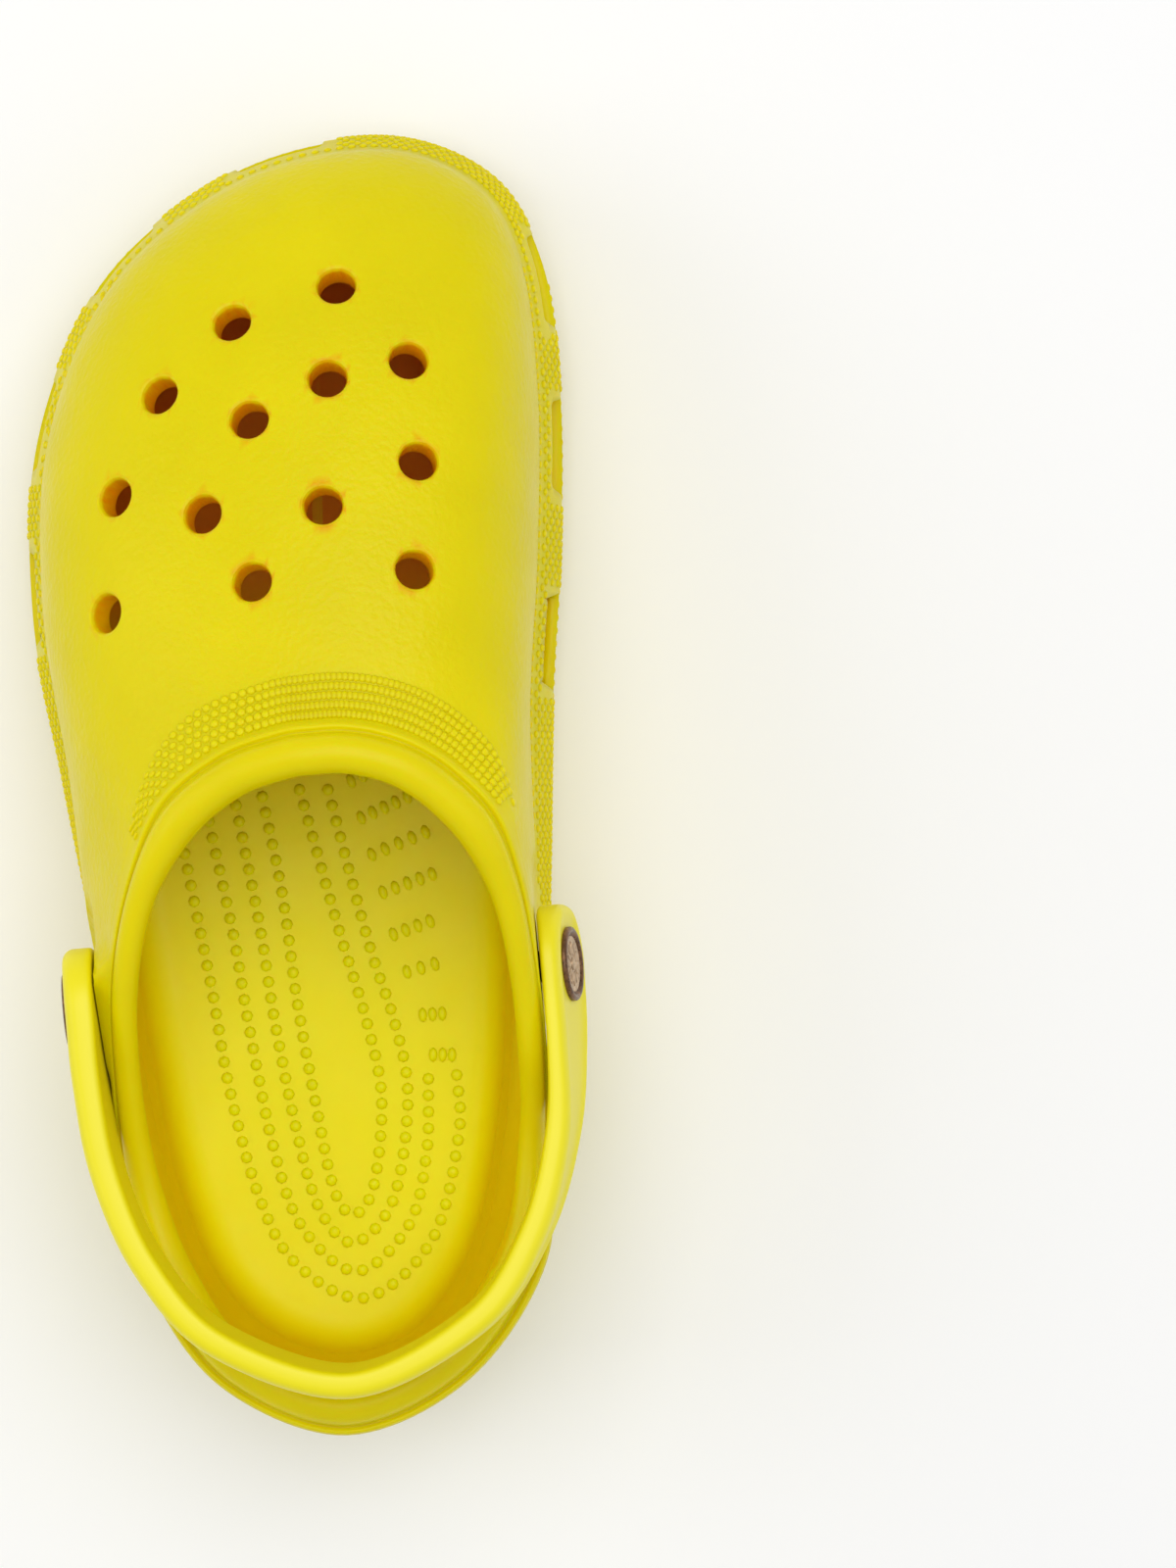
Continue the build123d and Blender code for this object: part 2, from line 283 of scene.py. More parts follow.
def loft(bm, rows):
    """Bridges closed loops of points, one to the next, and closes both ends."""
    loops = []
    for row in rows:
        verts = [bm.verts.new(p) for p in row]
        loops.append([bm.edges.new((verts[k - 1], verts[k])) for k in range(len(verts))])
    for below, above in zip(loops, loops[1:]):
        bmesh.ops.bridge_loops(bm, edges=below + above)
    for loop in (loops[0], loops[-1]):
        bmesh.ops.holes_fill(bm, edges=loop, sides=len(loop))
    bmesh.ops.recalc_face_normals(bm, faces=bm.faces)


class Bumps:
    """Collects rounded bumps in small batches, so that adding one stays quick."""

    def __init__(self):
        self.whole, self.batch, self.held = bmesh.new(), bmesh.new(), 0

    def add(self, at, normal, along, size, segments=8, rings=5):
        dome(self.batch, at, normal, along, size, segments, rings)
        self.held += 1
        if self.held >= 40:
            self.flush()

    def flush(self):
        mesh = bpy.data.meshes.new("batch")
        self.batch.to_mesh(mesh)
        self.whole.from_mesh(mesh)
        bpy.data.meshes.remove(mesh)
        self.batch.free()
        self.batch, self.held = bmesh.new(), 0

    def done(self):
        self.flush()
        self.batch.free()
        return self.whole


def dome(bm, at, normal, along, size, segments=8, rings=5):
    """One rounded bump: size is its length along, its width and its height."""
    normal = Vector(normal).normalized()
    along = Vector(along)
    along = (along - normal * along.dot(normal)).normalized()
    across = normal.cross(along)
    turn = Matrix((along, across, normal)).transposed().to_4x4()
    place = Matrix.Translation(at) @ turn @ Matrix.Diagonal((size[0] / 2, size[1] / 2, size[2], 1))
    bmesh.ops.create_uvsphere(bm, u_segments=segments, v_segments=rings, radius=1, matrix=place)


# ---- materials ----------------------------------------------------------------------------------
def new_material(name):
    material = bpy.data.materials.new(name)
    material.use_nodes = True
    nodes, links = material.node_tree.nodes, material.node_tree.links
    shader = next(n for n in nodes if n.type == "BSDF_PRINCIPLED")
    coords = nodes.new("ShaderNodeTexCoord").outputs["Object"]
    return material, nodes, links, shader, coords


def noise(nodes, links, coords, scale, detail=3.0):
    """Noise between 0 and 1 on the object's own coordinates."""
    node = nodes.new("ShaderNodeTexNoise")
    node.inputs["Scale"].default_value = scale
    node.inputs["Detail"].default_value = detail
    links.new(coords, node.inputs["Vector"])
    return node.outputs["Fac"]


def ramp(nodes, links, value, stops):
    """Colour ramp between two stops, each a position and a colour."""
    node = nodes.new("ShaderNodeValToRGB")
    for element, (position, colour) in zip(node.color_ramp.elements, stops):
        element.position, element.color = position, (*colour, 1)
    links.new(value, node.inputs["Fac"])
    return node.outputs["Color"]


def math_node(nodes, links, operation, a, b):
    node = nodes.new("ShaderNodeMath")
    node.operation = operation
    for socket, value in zip(node.inputs, (a, b)):
        if isinstance(value, (int, float)):
            socket.default_value = value
        else:
            links.new(value, socket)
    return node.outputs[0]


def mix_colour(nodes, links, factor, a, b):
    node = nodes.new("ShaderNodeMix")
    node.data_type = "RGBA"
    links.new(factor, node.inputs["Factor"])
    for socket, value in ((node.inputs["A"], a), (node.inputs["B"], b)):
        if isinstance(value, tuple):
            socket.default_value = (*value, 1)
        else:
            links.new(value, socket)
    return node.outputs["Result"]


def bed_colour_painted_light(colour):
    """Painted light: the footbed is made paler than the upper, for the light that falls on it."""
    return tuple(min(c * k, 0.96) for c, k in zip(colour, (1.27, 1.36, 1)))


def foam_material(name, colour, grain, roughness):
    """Closed-cell foam, leather grain where the mould has it, painted shade inside the shell, painted light
    on the bed.
    """
    material, nodes, links, shader, coords = new_material(name)
    # Painted shade: a deeper orange for the shade in the hollow under the upper, on the inner wall and in the
    # vents.
    deep = tuple(c * k for c, k in zip(colour, (1.05, 0.42, 1)))
    cloudy = ramp(nodes, links, noise(nodes, links, coords, 28.0), [
        (0.3, tuple(c * 0.95 for c in colour)), (0.7, tuple(min(c * 1.03, 1) for c in colour))])
    inside = nodes.new("ShaderNodeAttribute")
    inside.attribute_name = "inside"
    bed = nodes.new("ShaderNodeAttribute")
    bed.attribute_name = "bed"
    # Painted light: the bed attribute mixes in the paler footbed colour.
    skin_colour = mix_colour(nodes, links, bed.outputs["Fac"], cloudy, bed_colour_painted_light(colour))
    # The inside attribute mixes in the painted shade.
    links.new(mix_colour(nodes, links, inside.outputs["Fac"], skin_colour, deep), shader.inputs["Base Color"])
    skin = nodes.new("ShaderNodeAttribute")
    skin.attribute_name = "grain"
    cells = nodes.new("ShaderNodeTexVoronoi")
    cells.feature = "SMOOTH_F1"
    cells.inputs["Scale"].default_value = 620.0
    cells.inputs["Smoothness"].default_value = 0.6
    wobble = nodes.new("ShaderNodeVectorMath")
    wobble.operation = "ADD"
    small = nodes.new("ShaderNodeTexNoise")
    small.inputs["Scale"].default_value = 260.0
    links.new(coords, small.inputs["Vector"])
    lean = nodes.new("ShaderNodeVectorMath")
    lean.operation = "SCALE"
    lean.inputs["Scale"].default_value = 0.0022
    links.new(small.outputs["Color"], lean.inputs[0])
    links.new(coords, wobble.inputs[0])
    links.new(lean.outputs[0], wobble.inputs[1])
    links.new(wobble.outputs[0], cells.inputs["Vector"])
    fine = noise(nodes, links, coords, 1500.0, 2.0)
    coarse = math_node(nodes, links, "MULTIPLY", cells.outputs["Distance"], 0.8)
    height = math_node(nodes, links, "ADD", coarse, math_node(nodes, links, "MULTIPLY", fine, 0.35))
    most = math_node(nodes, links, "MULTIPLY", skin.outputs["Fac"], 0.9)
    weight = math_node(nodes, links, "ADD", most, 0.1)
    bump = nodes.new("ShaderNodeBump")
    bump.inputs["Strength"].default_value = grain
    bump.inputs["Distance"].default_value = 0.00035
    links.new(math_node(nodes, links, "MULTIPLY", height, weight), bump.inputs["Height"])
    links.new(bump.outputs["Normal"], shader.inputs["Normal"])
    rough = ramp(nodes, links, noise(nodes, links, coords, 90.0), [
        (0.3, (roughness - 0.05,) * 3), (0.7, (roughness + 0.06,) * 3)])
    links.new(rough, shader.inputs["Roughness"])
    shader.inputs["Specular IOR Level"].default_value = 0.15
    shader.inputs["Subsurface Weight"].default_value = 0.3
    shader.inputs["Subsurface Radius"].default_value = (1.0, 0.4, 0.02)
    shader.inputs["Subsurface Scale"].default_value = 0.006
    return material


def metal_material(name, colour, worn, roughness, metallic):
    """Bronze-toned plating, lighter where it has rubbed."""
    material, nodes, links, shader, coords = new_material(name)
    tint = ramp(nodes, links, noise(nodes, links, coords, 700.0, 5.0), [(0.35, colour), (0.72, worn)])
    links.new(tint, shader.inputs["Base Color"])
    rough = ramp(nodes, links, noise(nodes, links, coords, 1200.0), [
        (0.3, (roughness - 0.08,) * 3), (0.7, (roughness + 0.12,) * 3)])
    links.new(rough, shader.inputs["Roughness"])
    bump = nodes.new("ShaderNodeBump")
    bump.inputs["Strength"].default_value = 0.25
    bump.inputs["Distance"].default_value = 0.0001
    links.new(noise(nodes, links, coords, 1800.0), bump.inputs["Height"])
    links.new(bump.outputs["Normal"], shader.inputs["Normal"])
    shader.inputs["Metallic"].default_value = metallic
    return material


def floor_material(name, colour):
    """Matt pale floor with a faint unevenness."""
    material, nodes, links, shader, coords = new_material(name)
    tint = ramp(nodes, links, noise(nodes, links, coords, 3.0), [
        (0.3, tuple(c * 0.99 for c in colour)), (0.7, colour)])
    links.new(tint, shader.inputs["Base Color"])
    shader.inputs["Roughness"].default_value = 0.9
    return material


def named_material(name):
    return bpy.data.materials[name]


# ---- properties ---------------------------------------------------------------------------------
class ClogShape(PropertyGroup):
    """Sizes of the moulding's details."""
    rim_ridge: FloatProperty(
        name="Rim ridge", description="Strength of the fine ridge outside the rolled rim",
        default=1.0, min=0.0, max=1.5)
    vent_size: FloatProperty(
        name="Vent diameter", description="Diameter of a vent in millimetres", default=8.2, min=6.0, max=10.0)
    dot_pitch: FloatProperty(
        name="Dot pitch", description="Distance between dots of the side band in millimetres",
        default=2.75, min=2.0, max=5.0)
    bead_rows: IntProperty(
        name="Bead rows", description="Rows of beads round the front of the opening", default=5, min=3, max=6)
    nub_pitch: FloatProperty(
        name="Nub pitch", description="Distance between footbed nubs in millimetres",
        default=3.75, min=3.0, max=6.0)
    tread_pitch: FloatProperty(
        name="Tread pitch", description="Distance between tread bars in millimetres", default=15.0, min=10.0)


class ClogFinish(PropertyGroup):
    """Colours and finishes."""
    foam: FloatVectorProperty(
        name="Foam", description="Colour of the foam", subtype="COLOR",
        default=(0.755, 0.645, 0.0), min=0, max=1)
    bronze: FloatVectorProperty(
        name="Rivet", description="Colour of the rivet heads", subtype="COLOR",
        default=(0.085, 0.04, 0.018), min=0, max=1)
    badge: FloatVectorProperty(
        name="Badge", description="Colour of the rivet discs", subtype="COLOR",
        default=(0.42, 0.30, 0.19), min=0, max=1)
    floor: FloatVectorProperty(
        name="Floor", description="Colour of the floor", subtype="COLOR",
        default=(0.97, 0.97, 0.97), min=0, max=1)


class ClogStage(PropertyGroup):
    """Camera and light."""
    lens: FloatProperty(name="Lens", description="Focal length in millimetres", default=108.0)
    height: FloatProperty(
        name="Camera height", description="Height of the camera over the floor", default=1.1, unit="LENGTH")
    key_power: FloatProperty(name="Key light", description="Power of the overhead softbox", default=9.1)
    left_power: FloatProperty(name="Left light", description="Power of the left softbox", default=3.36)
    right_power: FloatProperty(name="Right light", description="Power of the right softbox", default=1.44)


def shape():
    return bpy.context.scene.clog_shape


def finish():
    return bpy.context.scene.clog_finish


def surface():
    return Surface(shape().rim_ridge)


# ---- operators ----------------------------------------------------------------------------------
class CLOG_OT_materials(Operator):
    """Make the foam, bronze and floor materials"""
    bl_idname = "clog.materials"
    bl_label = "Materials"

    def execute(self, context):
        f = finish()
        foam = tuple(f.foam)
        foam_material("moulded_foam", foam, 0.55, 0.36)
        # Painted light: beads and dots are a brighter, warmer copy of the foam, set against the shade between
        # them.
        foam_material("bead_foam_painted_light", tuple(c * k for c, k in zip(foam, (1.18, 1.07, 1))), 0.1, 0.34)
        # Painted light: the nubs take the paler footbed colour.
        foam_material("bed_foam_painted_light", bed_colour_painted_light(foam), 0.1, 0.34)
        foam_material("strap_foam", foam, 0.12, 0.27)
        metal_material("rivet_bronze", tuple(f.bronze), tuple(c * 3 for c in f.bronze), 0.3, 0.55)
        metal_material("badge_metal", tuple(f.badge), tuple(min(c * 1.6, 1) for c in f.badge), 0.38, 0.7)
        floor_material("studio_floor", tuple(f.floor))
        return {"FINISHED"}


def lathe(bm, outline, matrix, steps=48):
    """Spins a half outline round +Z and places it."""
    old = set(bm.verts)
    verts = [bm.verts.new((r, 0, z)) for r, z in outline]
    edges = [bm.edges.new(pair) for pair in zip(verts, verts[1:])]
    bmesh.ops.spin(bm, geom=verts + edges, cent=(0, 0, 0), axis=(0, 0, 1), dvec=(0, 0, 0),
                   angle=2 * pi, steps=steps, use_merge=True, use_duplicate=False)
    made = [v for v in bm.verts if v not in old]
    bmesh.ops.remove_doubles(bm, verts=made, dist=0.001)
    made = [v for v in bm.verts if v not in old]
    bmesh.ops.recalc_face_normals(bm, faces=list({f for v in made for f in v.link_faces}))
    bmesh.ops.transform(bm, matrix=matrix, verts=made)


def vent_cutter(bm, at, normal, radius):
    """Round plug with a flared mouth."""
    turn = Vector((0, 0, 1)).rotation_difference(normal).to_matrix().to_4x4()
    outline = [(0.0, -11), (radius, -11), (radius, -1.7), (radius + 0.12, -1.0), (radius + 0.45, -0.4),
               (radius + 1.1, -0.05), (radius + 2.0, 0.35), (radius + 2.0, 6), (0.0, 6)]
    lathe(bm, outline, Matrix.Translation(at) @ turn, 28)


class CLOG_OT_moulding(Operator):
    """Model the one-piece foam moulding: sole band, upper, rolled rim, inner wall and footbed"""
    bl_idname = "clog.moulding"
    bl_label = "Foam moulding"

    def execute(self, context):
        s = surface()
        bm = bmesh.new()
        loft(bm, s.rows)
        body = make_object("foam_moulding", bm, named_material("moulded_foam"), "clog")
        self.cut_openings(body, s)
        self.paint(body, s)
        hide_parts("clog_body")
        return {"FINISHED"}

    @staticmethod
    def cut_openings(body, s):
        bm = bmesh.new()
        for x, y in VENTS:
            at, normal = drop(s, x, y)
            vent_cutter(bm, at, normal, shape().vent_size / 2)
        for corner, x_dir, out in port_frames(s):
            port_cutter(bm, corner, x_dir, out)
        cutter = make_object("cutter", bm, named_material("moulded_foam"), None)
        cut = body.modifiers.new("openings", "BOOLEAN")
        cut.operation = "DIFFERENCE"
        cut.solver = "MANIFOLD"
        cut.object = cutter
        graph = bpy.context.evaluated_depsgraph_get()
        mesh = bpy.data.meshes.new_from_object(body.evaluated_get(graph))
        if len(mesh.polygons) < 20000:
            raise RuntimeError("the vents could not be cut")
        body.modifiers.clear()
        body.data = mesh
        bpy.data.objects.remove(cutter, do_unlink=True)
        for face in mesh.polygons:
            face.use_smooth = True
        crisp_vents(mesh)

    @staticmethod
    def paint(body, s):
        """Leather grain belongs to the upper; painted shade goes in the hollow and the vents, painted light
        on the bed.
        """
        mesh = body.data
        count = len(mesh.vertices)
        tree = KDTree(s.outer.shape[0] * AROUND)
        for k, point in enumerate(s.outer.reshape(-1, 3)):
            tree.insert(point, k)
        tree.balance()
        places = np.array([v.co for v in mesh.vertices]) / MM
        found = [tree.find(p) for p in places]
        row = np.array([f[1] // AROUND for f in found])
        away = np.array([f[2] for f in found])
        upper = (row > s.side_count) & (row < s.outer_count - 3) & (away < 2.2)
        grain = np.where(upper, 1.0, 0.0)
        hollow = (away > 3.0) & (row < s.outer_count - 6) & (places[:, 2] > 12)
        wall = ease(BED + 0.5, BED + 8, places[:, 2])
        # Painted shade: full under the front of the upper, 0.28 on the inner wall.
        inside = hollow * np.maximum(ease(5, 55, places[:, 1]), 0.28 * wall)
        # Painted light: the footbed gets the paler colour.
        bed = hollow * (1 - wall)
        # Painted shade in the vent mouths, strongest deepest in.
        vent = (away <= 3.0) * ease(0.5, 2.5, away) * (row > s.side_count + 2) * (row < s.outer_count - 6)
        inside = np.maximum(inside, vent)
        for name, values in (("grain", grain), ("inside", inside), ("bed", bed)):
            layer = mesh.attributes.new(name, "FLOAT", "POINT")
            layer.data.foreach_set("value", values.astype(np.float32))


def crisp_vents(mesh):
    """Marks the edges of each vent's flared mouth as creases."""
    bm = bmesh.new()
    bm.from_mesh(mesh)
    vents = np.array(VENTS, float)
    for edge in bm.edges:
        at = edge.verts[0].co / MM
        if at.z < 25 or edge.calc_face_angle(0) < 0.2:
            continue
        if np.hypot(vents[:, 0] - at.x, vents[:, 1] - at.y).min() < 7.5:
            edge.smooth = False
    bm.to_mesh(mesh)
    bm.free()


def drop(s, x, y):
    """Point and normal of the upper straight under a place in plan."""
    upper = s.outer[s.side_count:]
    away = np.hypot(upper[..., 0] - x, upper[..., 1] - y)
    k = np.unravel_index(away.argmin(), away.shape)
    normal = Vector(s.normal[s.side_count:][k])
    return Vector(upper[k]), normal


def port_frames(s):
    """Middle, direction along the band and outward direction of each side port."""
    frames = []
    bulge = s.outer[14]
    for x, y in PORTS:
        k = int(np.hypot(bulge[:, 0] - x, bulge[:, 1] - y).argmin())
        along = Vector(bulge[(k + 1) % AROUND] - bulge[k - 1])
        along.z = 0
        along.normalize()
        out = Vector((-along.y, along.x, 0))
        rise = 22 + 2.5 * float(ease(60, 146, y))
        frames.append((Vector((bulge[k, 0], bulge[k, 1], rise)), along, out))
    return frames


def port_cutter(whole, middle, along, out):
    """Shallow block with rounded corners, narrower at the top, whose floor follows the band."""
    up = Vector((0, 0, 1))
    bm = bmesh.new()
    bmesh.ops.create_cube(bm, size=1)
    for v in bm.verts:
        narrow = 0.84 if v.co.z > 0 else 1.0
        side, deep, height = (c * size for c, size in zip(v.co, PORT_SIZE))
        v.co = middle + along * side * narrow + up * height + out * (deep + 4.2)
    bmesh.ops.bevel(bm, geom=bm.edges[:], offset=1.6, offset_type="OFFSET", segments=4, profile=0.5,
                    affect="EDGES", material=-1)
    long_edges = [e for e in bm.edges if e.calc_length() > 4]
    bmesh.ops.subdivide_edges(bm, edges=long_edges, cuts=7, use_grid_fill=True)
    for v in bm.verts:
        away = v.co - middle
        if away.dot(out) < 0:
            v.co -= out * (0.6 * (away.dot(along) / 11.5) ** 2 + 0.25 * (away.z / 5.0) ** 2)
    mesh = bpy.data.meshes.new("port")
    bm.to_mesh(mesh)
    bm.free()
    whole.from_mesh(mesh)
    bpy.data.meshes.remove(mesh)


class CLOG_OT_collar_beads(Operator):
    """Set rows of small oval beads round the front of the opening"""
    bl_idname = "clog.collar_beads"
    bl_label = "Collar beads"

    def execute(self, context):
        s = surface()
        bumps = Bumps()
        top = s.outer_count - 1
        start, end = BEAD_SPAN
        rows = shape().bead_rows
        for j in range(rows):
            for i in range(BEAD_COUNT):
                centre = (i + 0.5 * (j % 2)) / BEAD_COUNT
                turn = start + (end - start) * centre
                width = BEAD_BAND * float(ease(0.0, 0.22, centre) * (1 - ease(0.78, 1.0, centre)))
                if width < 3.2:
                    continue
                down = 0.9 + (j + 0.35) * width / rows
                at, normal = s.place(turn, top, s.side_count, down)
                if at.x > 46 and at.y < -7:
                    continue  # the swung strap lies here
                ahead, _ = s.place(turn + 0.002, top, s.side_count, down)
                room = min(width / rows, 2.1)
                bumps.add(at, normal, ahead - at, (2.15, room, 0.45))
        beads = make_object("collar_beads", bumps.done(), named_material("bead_foam_painted_light"), "clog")
        return {"FINISHED"}


class CLOG_OT_band_dots(Operator):
    """Cover the side band of the sole with small raised dots, and edge it with a fine bead line"""
    bl_idname = "clog.band_dots"
    bl_label = "Side band dots"

    def execute(self, context):
        s = surface()
        pitch = shape().dot_pitch
        frames = port_frames(s)
        bumps = Bumps()
        count = int(SOLE_RUN / pitch)
        for j in range(10):
            down = 1.8 + j * pitch * 0.86
            for i in range(count):
                turn = (i + 0.5 * (j % 2)) / count
                at, normal = s.place(turn, s.side_count - 2, 6, down)
                if at.z < 8 or self.in_port(at, frames) or self.bare(at):
                    continue
                ahead, _ = s.place(turn + 0.002, s.side_count - 2, 6, down)
                bumps.add(at, normal, ahead - at, (2.0, 2.0, 0.55), 7, 4)
        dots = make_object("band_dots", bumps.done(), named_material("bead_foam_painted_light"), "clog")
        bumps = Bumps()
        count = int(SOLE_RUN / 2.3)
        for i in range(count):
            turn = i / count
            at, normal = s.place(turn, s.side_count, s.outer_count - 1, 0.6)
            if self.bare(at):
                continue
            ahead, _ = s.place(turn + 0.002, s.side_count, s.outer_count - 1, 0.6)
            bumps.add(at, normal, ahead - at, (1.9, 1.3, 0.6), 7, 4)
        line = make_object("band_bead_line", bumps.done(), named_material("bead_foam_painted_light"), "clog")
        return {"FINISHED"}

    @staticmethod
    def bare(at):
        """The dotted band runs out towards the heel, low along the sole."""
        return at.y < -62 or at.z > 38 - 26 * float(ease(-8, -62, at.y))

    @staticmethod
    def in_port(at, frames):
        """True inside or right beside a side port."""
        for middle, along, out in frames:
            d = at - middle
            if abs(d.dot(along)) < 13.2 and abs(d.z) < 7.0 and abs(d.dot(out)) < 9:
                return True
        return False


class CLOG_OT_footbed_nubs(Operator):
    """Set the rows and short bars of massage nubs on the footbed"""
    bl_idname = "clog.footbed_nubs"
    bl_label = "Footbed nubs"

    def execute(self, context):
        bumps = Bumps()
        mesh = bpy.data.objects["foam_moulding"].data
        tree = BVHTree.FromPolygons([v.co / MM for v in mesh.vertices], [p.vertices for p in mesh.polygons])
        for row in NUB_ROWS:
            for x, y in even_points(row, shape().nub_pitch):
                at, normal = bed_under(tree, x, y)
                bumps.add(at, normal, (0, 1, 0), (2.9, 2.9, 0.7))
        for start, end, count in NUB_BARS:
            a, b = Vector((*start, 0)), Vector((*end, 0))
            for k in range(count):
                p = a.lerp(b, (k + 0.5) / count)
                at, normal = bed_under(tree, p.x, p.y)
                bumps.add(at, normal, b - a, (2.2, 3.6, 0.7))
        nubs = make_object("footbed_nubs", bumps.done(), named_material("bed_foam_painted_light"), "clog")
        return {"FINISHED"}


def bed_under(tree, x, y):
    """Point of the footbed straight under a place in plan, and the bed's normal there."""
    at, normal, _, _ = tree.ray_cast(Vector((x, y, 40)), Vector((0, 0, -1)))
    return at - normal * 0.1, normal


class CLOG_OT_tread(Operator):
    """Add the bars of the tread under the sole"""
    bl_idname = "clog.tread"
    bl_label = "Tread"

    def execute(self, context):
        s = surface()
        ground = s.outer[0][::3]
        edge = ground - outward(ground) * 2.5
        pitch = shape().tread_pitch
        bm = bmesh.new()
        for k in range(16):
            low = -124 + pitch * k
            self.bar(bm, edge, low, low + pitch * 0.55)
        tread = make_object("tread_bars", bm, named_material("strap_foam"), "clog", smooth=False)
        return {"FINISHED"}

    @staticmethod
    def bar(bm, edge, low, high):
        """One bar across the sole between two places along it, its ground edges rounded."""
        old = set(bm.verts)
        verts = [bm.verts.new((p[0], p[1], 3.0)) for p in edge]
        face = bm.faces.new(verts)
        geom = verts + list(face.edges) + [face]
        for y in (low, high):
            bmesh.ops.bisect_plane(bm, geom=geom, plane_co=(0, y, 0), plane_no=(0, 1, 0), dist=1e-4,
                                   clear_inner=y == low, clear_outer=y == high)
            kept = [v for v in bm.verts if v not in old]
            edges = {e for v in kept for e in v.link_edges}
            geom = kept + list(edges) + list({f for v in kept for f in v.link_faces})
        faces = [g for g in geom if isinstance(g, bmesh.types.BMFace)]
        if not faces:
            return
        grown = bmesh.ops.extrude_face_region(bm, geom=faces, use_keep_orig=True)
        lowered = [g for g in grown["geom"] if isinstance(g, bmesh.types.BMVert)]
        bmesh.ops.translate(bm, vec=(0, 0, -3.0), verts=lowered)
        made = [v for v in bm.verts if v not in old]
        bmesh.ops.recalc_face_normals(bm, faces=list({f for v in made for f in v.link_faces}))
        rim = [e for e in {e for v in lowered for e in v.link_edges} if all(v.co.z < 0.5 for v in e.verts)]
        bmesh.ops.bevel(bm, geom=rim, offset=0.5, offset_type="OFFSET", segments=2, profile=0.5,
                        affect="EDGES", material=-1)


def hinge_frame():
    """Point, medial direction, forward direction and up direction of the strap hinge."""
    at = Vector(SWING["pos_m"]) / MM
    x = -Vector(SWING["axis"]).normalized()
    return at, x, Vector((-x.y, x.x, 0)), Vector((0, 0, 1))


class CLOG_OT_strap(Operator):
    """Sweep the heel strap from ear to ear, with rounded edges and a sunk outer face"""
    bl_idname = "clog.strap"
    bl_label = "Heel strap"

    def execute(self, context):
        half = self.stations()
        bm = bmesh.new()
        rows = [self.section(p, n, y, 1) for p, n, y in half]
        rows += [self.section(p, n, y, -1) for p, n, y in reversed(half[:-1])]
        loft(bm, rows)
        strap = make_object("heel_strap_foam", bm, named_material("strap_foam"), "strap")
        smooth = strap.modifiers.new("smooth", "SUBSURF")
        smooth.levels = smooth.render_levels = 1
        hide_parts("heel_strap")
        return {"FINISHED"}

    @staticmethod
    def stations():
        """Places down the strap from the ear's tip to the middle, with the outward direction at each."""
        tip = [(EAR_OUTER, EAR * cos(a)) for a in np.radians([5, 12, 20, 29, 38, 47, 56, 65, 74, 82])]
        whole = STRAP_OUTSIDE + [(-x, y) for x, y in reversed(STRAP_OUTSIDE[:-1])]
        band = even_points(whole, 2.6)
        band = band[:len(band) // 2 + 1]
        path = np.array(tip + [tuple(p) for p in band])
        path[-1] = (0, STRAP_OUTSIDE[-1][1])
        along = np.gradient(path, axis=0)
        along[:12] = (0, -1)
        along[-1] = (-1, 0)
        along = along / np.linalg.norm(along, axis=1)[:, None]
        normals = np.c_[-along[:, 1], along[:, 0]]
        return [(p, n, p[1]) for p, n in zip(path, normals)]

    @staticmethod
    def section(point, normal, y, side):
        """Closed outline across the strap: rounded edges, and a sunk band between two lips outside."""
        at, hx, hy, hz = hinge_frame()
        if y > 0:
            top = sqrt(max(EAR ** 2 - y ** 2, 0.01))
            low = -top
        else:
            lower, upper = np.array(STRAP_LOWER, float), np.array(STRAP_UPPER, float)
            low = np.interp(-y, -lower[:, 0], lower[:, 1])
            top = np.interp(-y, -upper[:, 0], upper[:, 1])
        thick = STRAP_THICK - 0.4 * float(ease(0, 60, -y))
        height = top - low
        middle = (top + low) / 2
        end = float(np.clip((y - (EAR - EDGE_ROUND)) / EDGE_ROUND, 0, 1))
        outer_end = EDGE_ROUND * (1 - sqrt(1 - end ** 2))
        inner_end = outer_end / 2
        corner = min(EDGE_ROUND, height * 0.3)
        inner_corner = min(1.6, height * 0.3)
        sunk = 0.75 * float(1 - ease(8.4, 10.4, y)) * float(ease(10, 14, height))
        lip = 3.0
        outline = []
        for a in np.linspace(0, pi / 2, 5):
            outline.append((thick - corner + corner * sin(a), low + corner - corner * cos(a)))
        for z, q in ((low + lip + 0.2, 0), (low + lip + 1.2, sunk), (middle - height * 0.12, sunk),
                     (middle + height * 0.12, sunk), (top - lip - 1.2, sunk), (top - lip - 0.2, 0)):
            outline.append((thick - q, z))
        for a in np.linspace(0, pi / 2, 5):
            outline.append((thick - corner + corner * cos(a), top - corner + corner * sin(a)))
        for a in np.linspace(0, pi / 2, 4):
            outline.append((inner_corner - inner_corner * sin(a), top - inner_corner + inner_corner * cos(a)))
        for z in (middle + height * 0.12, middle - height * 0.12):
            outline.append((0, z))
        for a in np.linspace(0, pi / 2, 4):
            outline.append((inner_corner - inner_corner * cos(a), low + inner_corner - inner_corner * sin(a)))
        tilt = tan(EAR_TILT[side] + (radians(5) - EAR_TILT[side]) * float(ease(0, 75, -y)))
        base = middle * float(ease(0, 40, -y))
        row = []
        for q, z in outline:
            q = min(max(q, inner_end), thick - outer_end)
            reach = -(thick - q) - (z - base) * tilt * (q / thick)
            px, py = point[0] + normal[0] * reach, point[1] + normal[1] * reach
            row.append(at + hx * (px * side) + hy * py + hz * z)
        return row if side > 0 else list(reversed(row))


def face_frame(side, out, turned):
    """Matrix whose +Z is the outward direction at one end of the hinge."""
    at, hx, hy, hz = hinge_frame()
    tilt = EAR_TILT[side] if turned else 0
    z = hx * (side * cos(tilt)) + hz * sin(tilt)
    x = hy
    y = z.cross(x)
    turn = Matrix((x, y, z)).transposed().to_4x4()
    return Matrix.Translation(at + hx * (side * out)) @ turn


